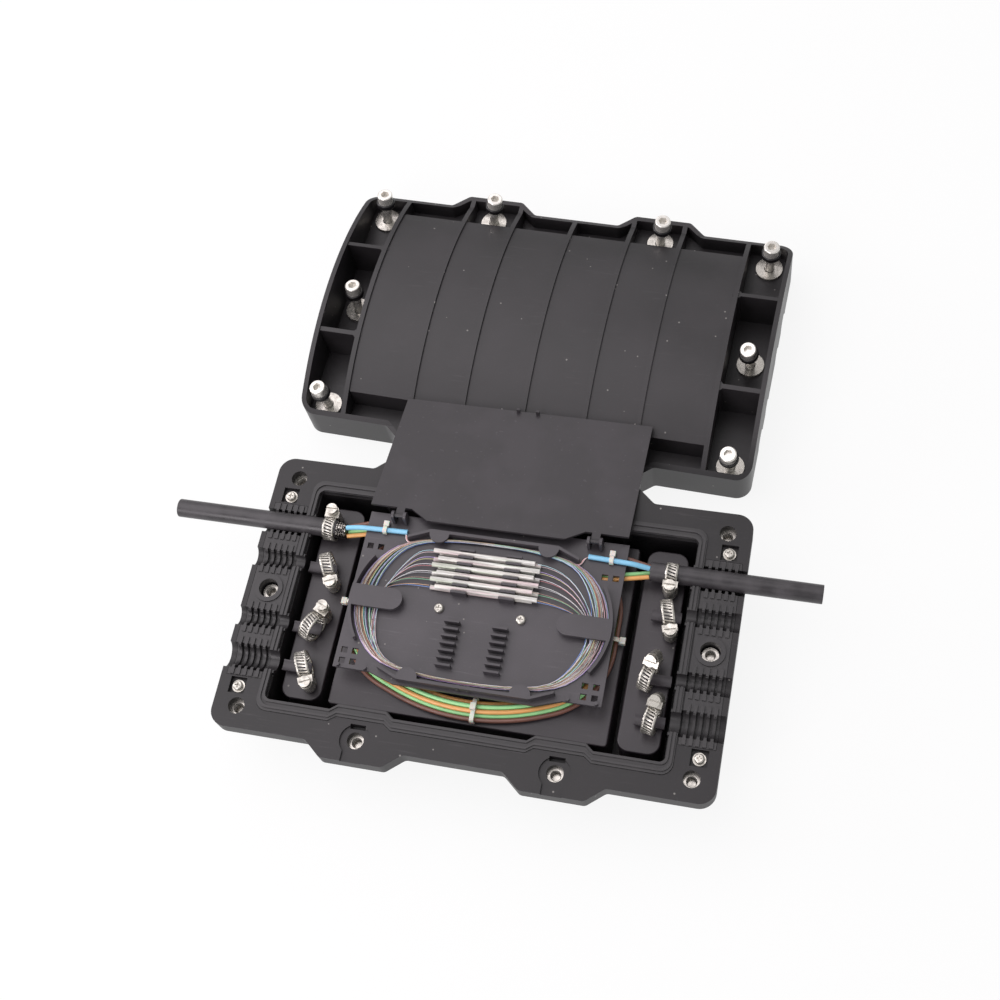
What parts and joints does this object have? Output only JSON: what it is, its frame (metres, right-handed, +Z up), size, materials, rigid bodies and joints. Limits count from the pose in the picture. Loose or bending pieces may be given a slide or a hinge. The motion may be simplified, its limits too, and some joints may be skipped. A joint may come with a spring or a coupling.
{
  "type": "fibre splice closure",
  "caption": "Horizontal fibre splice closure, open: deep base with ported ends, splice tray with folded-back lid, tied tubes, hose clamps, and its ribbed cover with captive bolts.",
  "frame": {"origin": "centre of the base's flat foot, on the floor", "axes": "X along the closure from the left cable to the right one, Y from the base to the cover behind it, +Z up"},
  "size_m": [0.386, 0.3986, 0.0618],
  "materials": {
    "shell_plastic": "fine moulded grain",
    "rubber": "matte",
    "tray_plastic": "satin",
    "stainless": "satin",
    "nickel": "satin",
    "cable_jacket": "satin",
    "blue_tube": "semi gloss",
    "orange_tube": "semi gloss",
    "green_tube": "semi gloss",
    "brown_tube": "semi gloss",
    "fibre": "gloss",
    "sleeve": "clear gloss",
    "natural_nylon": "translucent satin"
  },
  "bodies": {
    "base": {"base_shell": "shell_plastic", "base_gasket": "rubber", "port_seal_left": "rubber", "port_seal_right": "rubber", "base_inserts": "nickel", "seal_screws": "stainless", "seal_washers": "stainless", "cable_bracket_left": "tray_plastic", "cable_bracket_right": "tray_plastic", "tray_platform": "tray_plastic", "cable_left": "cable_jacket", "cable_right": "cable_jacket", "cable_braid": "stainless", "clamp_bands": "stainless", "clamp_housings": "stainless", "splice_tray": "tray_plastic", "tray_screws": "stainless", "splice_sleeves": "sleeve", "fibre_loops": "fibre", "tube_blue_left": "blue_tube", "tube_blue_right": "blue_tube", "tube_orange": "orange_tube", "tube_green": "green_tube", "tube_brown": "brown_tube", "cable_ties": "natural_nylon", "cover_shell": "shell_plastic", "cover_washers": "nickel"},
    "lid": {"tray_lid": "tray_plastic"},
    "bolt_1": {"cover_bolt_1": "stainless", "bolt_seal_1": "rubber"},
    "bolt_2": {"cover_bolt_2": "stainless", "bolt_seal_2": "rubber"},
    "bolt_3": {"cover_bolt_3": "stainless", "bolt_seal_3": "rubber"},
    "bolt_4": {"cover_bolt_4": "stainless", "bolt_seal_4": "rubber"},
    "bolt_5": {"cover_bolt_5": "stainless", "bolt_seal_5": "rubber"},
    "bolt_6": {"cover_bolt_6": "stainless", "bolt_seal_6": "rubber"},
    "bolt_7": {"cover_bolt_7": "stainless", "bolt_seal_7": "rubber"},
    "bolt_8": {"cover_bolt_8": "stainless", "bolt_seal_8": "rubber"},
    "worm_1": {"clamp_screw_1": "stainless"},
    "worm_2": {"clamp_screw_2": "stainless"},
    "worm_3": {"clamp_screw_3": "stainless"},
    "worm_4": {"clamp_screw_4": "stainless"},
    "worm_5": {"clamp_screw_5": "stainless"},
    "worm_6": {"clamp_screw_6": "stainless"},
    "worm_7": {"clamp_screw_7": "stainless"},
    "worm_8": {"clamp_screw_8": "stainless"}
  },
  "joints": [
    {"name": "lid_hinge", "type": "hinge", "parent": "base", "child": "lid", "pos_m": [-0.0015, 0.052, 0.0583], "axis": [1, 0, 0], "range_deg": [0, 193.9]},
    {"name": "bolt_1_slide", "type": "slide", "parent": "base", "child": "bolt_1", "axis": [0.0789, 0.1427, 0.9866], "range_m": [-0.013, 0.014]},
    {"name": "bolt_2_slide", "type": "slide", "parent": "base", "child": "bolt_2", "axis": [0.1456, 0.0737, 0.9866], "range_m": [-0.013, 0.014]},
    {"name": "bolt_3_slide", "type": "slide", "parent": "base", "child": "bolt_3", "axis": [0.0984, 0.0187, 0.995], "range_m": [-0.013, 0.014]},
    {"name": "bolt_4_slide", "type": "slide", "parent": "base", "child": "bolt_4", "axis": [0.0363, -0.0084, 0.9993], "range_m": [-0.013, 0.014]},
    {"name": "bolt_5_slide", "type": "slide", "parent": "base", "child": "bolt_5", "axis": [-0.0053, 0.1308, 0.9914], "range_m": [-0.013, 0.014]},
    {"name": "bolt_6_slide", "type": "slide", "parent": "base", "child": "bolt_6", "axis": [-0.0583, -0.1506, 0.9869], "range_m": [-0.013, 0.014]},
    {"name": "bolt_7_slide", "type": "slide", "parent": "base", "child": "bolt_7", "axis": [-0.0631, -0.0515, 0.9967], "range_m": [-0.013, 0.014]},
    {"name": "bolt_8_slide", "type": "slide", "parent": "base", "child": "bolt_8", "axis": [-0.0375, -0.155, 0.9872], "range_m": [-0.013, 0.014]},
    {"name": "clamp_1_screw", "type": "hinge", "parent": "base", "child": "worm_1", "pos_m": [-0.1026, 0.05248, 0.04553], "axis": [0, 0, 1], "continuous": true},
    {"name": "clamp_2_screw", "type": "hinge", "parent": "base", "child": "worm_2", "pos_m": [-0.09334, 0.00852, 0.04459], "axis": [0.0425, -0.0955, 0.9945], "continuous": true},
    {"name": "clamp_3_screw", "type": "hinge", "parent": "base", "child": "worm_3", "pos_m": [-0.09372, -0.00849, 0.045], "axis": [0.0284, 0.0637, 0.9976], "continuous": true},
    {"name": "clamp_4_screw", "type": "hinge", "parent": "base", "child": "worm_4", "pos_m": [-0.09254, -0.05348, 0.04459], "axis": [0.0425, -0.0955, 0.9945], "continuous": true},
    {"name": "clamp_5_screw", "type": "hinge", "parent": "base", "child": "worm_5", "pos_m": [0.1022, 0.03352, 0.04553], "axis": [0, 0, 1], "continuous": true},
    {"name": "clamp_6_screw", "type": "hinge", "parent": "base", "child": "worm_6", "pos_m": [0.10638, 0.00789, 0.045], "axis": [0.0181, -0.0674, 0.9976], "continuous": true},
    {"name": "clamp_7_screw", "type": "hinge", "parent": "base", "child": "worm_7", "pos_m": [0.10031, -0.00973, 0.05225], "axis": [-0.1353, -0.5426, 0.829], "continuous": true},
    {"name": "clamp_8_screw", "type": "hinge", "parent": "base", "child": "worm_8", "pos_m": [0.10543, -0.03263, 0.05049], "axis": [-0.0706, -0.4006, 0.9135], "continuous": true}
  ]
}
